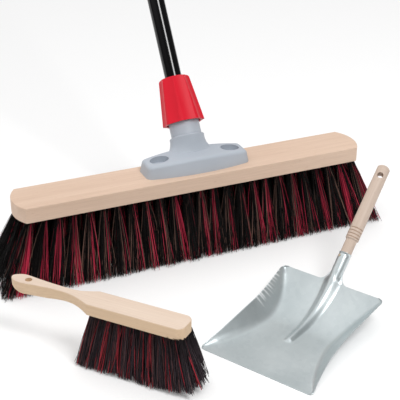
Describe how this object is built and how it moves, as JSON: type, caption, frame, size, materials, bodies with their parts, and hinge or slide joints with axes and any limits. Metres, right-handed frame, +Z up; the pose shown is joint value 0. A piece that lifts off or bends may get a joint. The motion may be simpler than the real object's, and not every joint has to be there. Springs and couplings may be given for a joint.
{
  "type": "broom, hand brush and dustpan set",
  "caption": "Push broom with clamp socket and tube handle, hand brush on a one-piece wooden stock, and pressed sheet-metal dustpan with a turned wooden grip.",
  "frame": {"origin": "middle of the set's footprint, on the floor", "axes": "+X along the broom's block, +Y to the back, the way the handle leans, +Z up"},
  "size_m": [0.6718, 1.1762, 1.2073],
  "materials": {
    "beech": "planed, unvarnished",
    "pale_beech": "sanded, unvarnished",
    "grip_beech": "turned, unvarnished",
    "broom_bristle": "black and red bristle",
    "brush_bristle": "black bristle with some red",
    "grey_plastic": "satin moulded",
    "red_plastic": "moulded",
    "black_plastic": "moulded",
    "black_paint": "gloss paint on steel tube",
    "galvanised_sheet": "galvanised",
    "zinc_steel": "zinc plated"
  },
  "bodies": {
    "broom": {"broom_block": "beech", "broom_tufts_row_1": "broom_bristle", "broom_tufts_row_2": "broom_bristle", "broom_tufts_row_3": "broom_bristle", "broom_tufts_row_4": "broom_bristle", "broom_tufts_row_5": "broom_bristle", "handle_socket": "grey_plastic", "socket_screws": "zinc_steel"},
    "nut": {"clamp_nut": "red_plastic"},
    "handle": {"broom_handle": "black_paint", "handle_hanger_cap": "black_plastic"},
    "hand_brush": {"brush_stock": "pale_beech", "brush_tufts_row_1": "brush_bristle", "brush_tufts_row_2": "brush_bristle", "brush_tufts_row_3": "brush_bristle"},
    "dustpan": {"pan_sheet": "galvanised_sheet", "pan_grip": "grip_beech", "pan_grip_nail": "zinc_steel"}
  },
  "joints": [
    {"name": "nut_turn", "type": "hinge", "parent": "broom", "child": "nut", "pos_m": [0.01061, -0.07622, 0.22101], "axis": [0, 0.5563, 0.831], "range_deg": [0, 360]},
    {"name": "handle_pull", "type": "slide", "parent": "broom", "child": "handle", "axis": [0, 0.5563, 0.831], "range_m": [0, 0.11]},
    {"name": "brush_lift", "type": "slide", "parent": "broom", "child": "hand_brush", "axis": [0, 0, 1], "range_m": [0, 0.25]},
    {"name": "pan_lift", "type": "slide", "parent": "broom", "child": "dustpan", "axis": [0, 0, 1], "range_m": [0, 0.25]}
  ]
}
